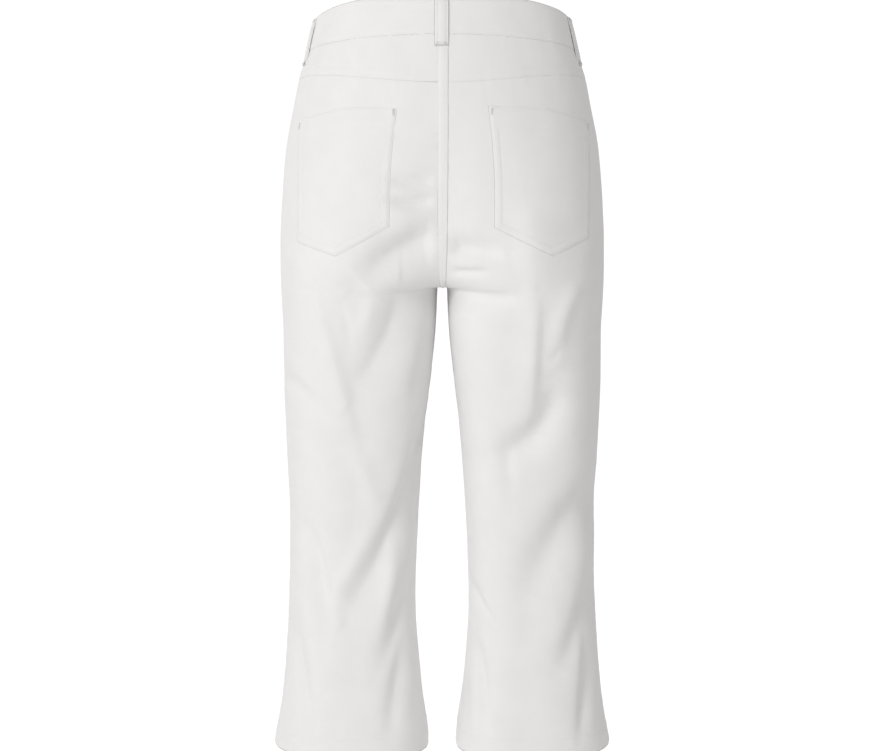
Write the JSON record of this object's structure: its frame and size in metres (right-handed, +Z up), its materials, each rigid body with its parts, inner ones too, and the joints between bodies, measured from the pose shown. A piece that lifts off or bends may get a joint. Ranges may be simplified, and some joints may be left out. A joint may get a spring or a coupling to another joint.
{
  "type": "capri pants",
  "caption": "White cotton twill capri trousers with a jeans cut, filled out and hollow: curved waistband with belt loops, back yoke, patch pockets, wide cropped legs.",
  "frame": {"origin": "centre of the waistband's ring, 3 mm over the band's middle at the side seams", "axes": "+Z up from the hems to the waist, -Y the front, +Y the back, +X the wearer's left"},
  "size_m": [0.3626, 0.2327, 0.8042],
  "materials": {
    "twill": "matt white stretch cotton twill",
    "twill_doubled": "the same twill in two plies, topstitched",
    "zip_tape": "woven white tape",
    "metal": "satin nickel"
  },
  "bodies": {
    "root": {"back_left": "twill", "back_right": "twill", "front_left": "twill", "front_right": "twill", "yoke_left": "twill", "yoke_right": "twill", "waistband": "twill_doubled", "back_pocket_left": "twill_doubled", "back_pocket_right": "twill_doubled", "seat_fell": "twill_doubled", "belt_loop_back": "twill_doubled", "belt_loop_side_left": "twill_doubled", "belt_loop_side_right": "twill_doubled", "belt_loop_front_left": "twill_doubled", "belt_loop_front_right": "twill_doubled", "zip_tape": "zip_tape", "zip_slider": "metal", "waist_button": "metal"}
  },
  "joints": []
}
